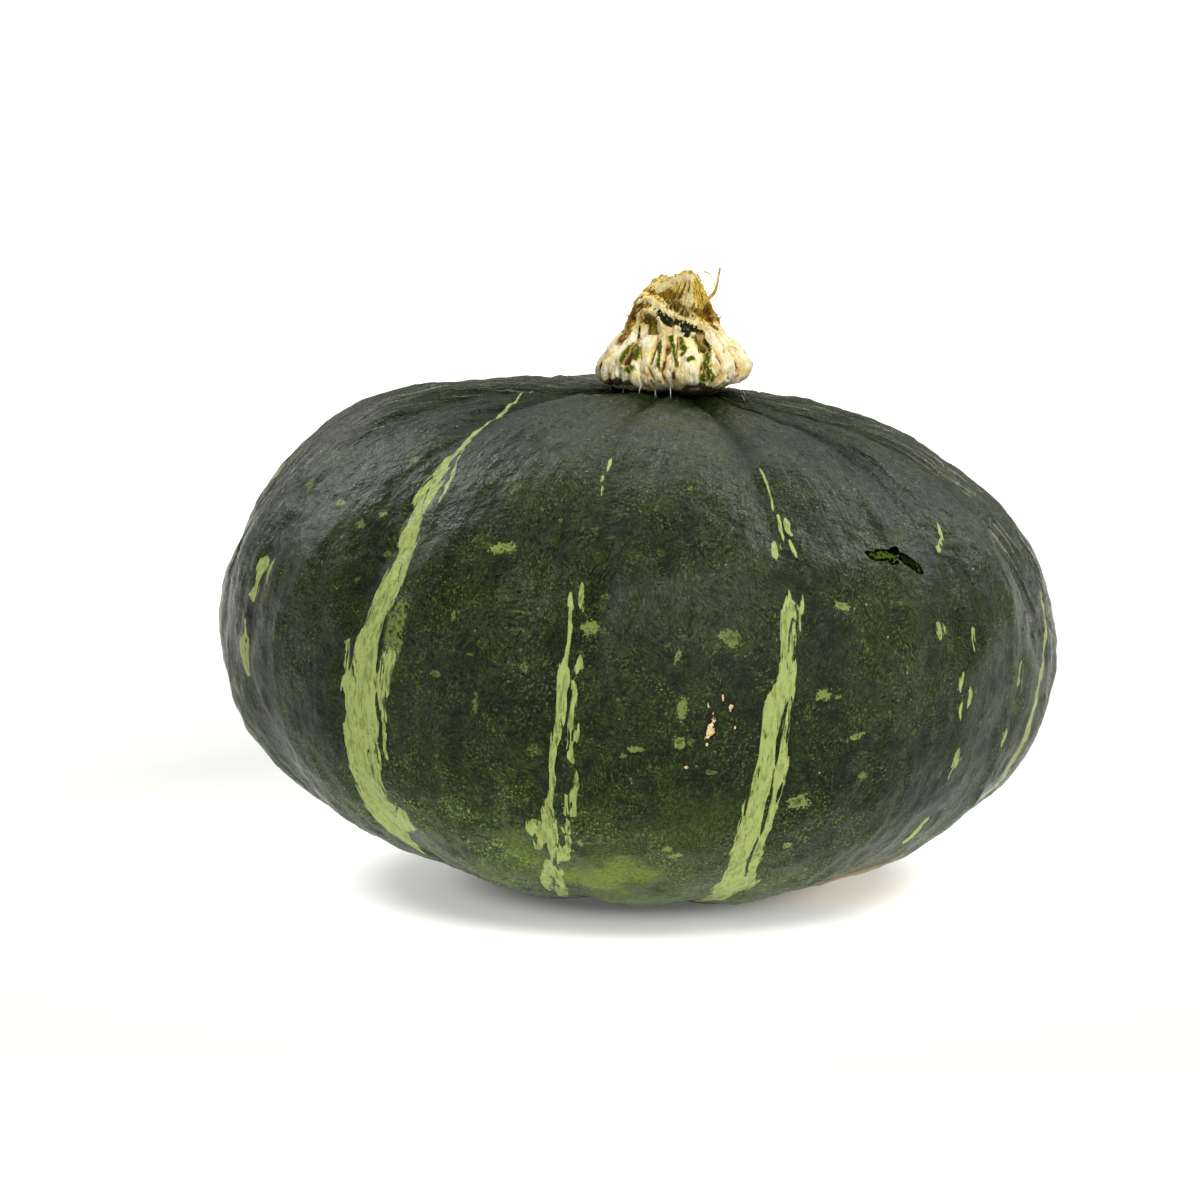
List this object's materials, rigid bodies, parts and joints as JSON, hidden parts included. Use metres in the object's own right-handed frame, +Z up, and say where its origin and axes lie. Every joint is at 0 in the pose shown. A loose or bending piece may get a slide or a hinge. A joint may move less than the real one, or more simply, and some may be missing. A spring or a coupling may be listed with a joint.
{
  "type": "kabocha squash",
  "caption": "Whole kabocha squash: a flattened, ribbed dark green winter squash with pale broken stripes and a dry corky stem, resting on its underside.",
  "frame": {"origin": "under the middle of the fruit, on the surface it rests on", "axes": "+Z up through the fruit from its blossom end towards its stem; -Y is the front, which the stripes and the broken end of the stem face; +X is the right, the side the stem's end leans to"},
  "size_m": [0.179, 0.1794, 0.1291],
  "materials": {
    "skin": "satin waxy rind, dark green with pale green broken stripes and flecks",
    "cork": "dry ridged cork, matt, straw to cream"
  },
  "bodies": {
    "root": {"fruit": "skin", "stem": "cork"}
  },
  "joints": []
}
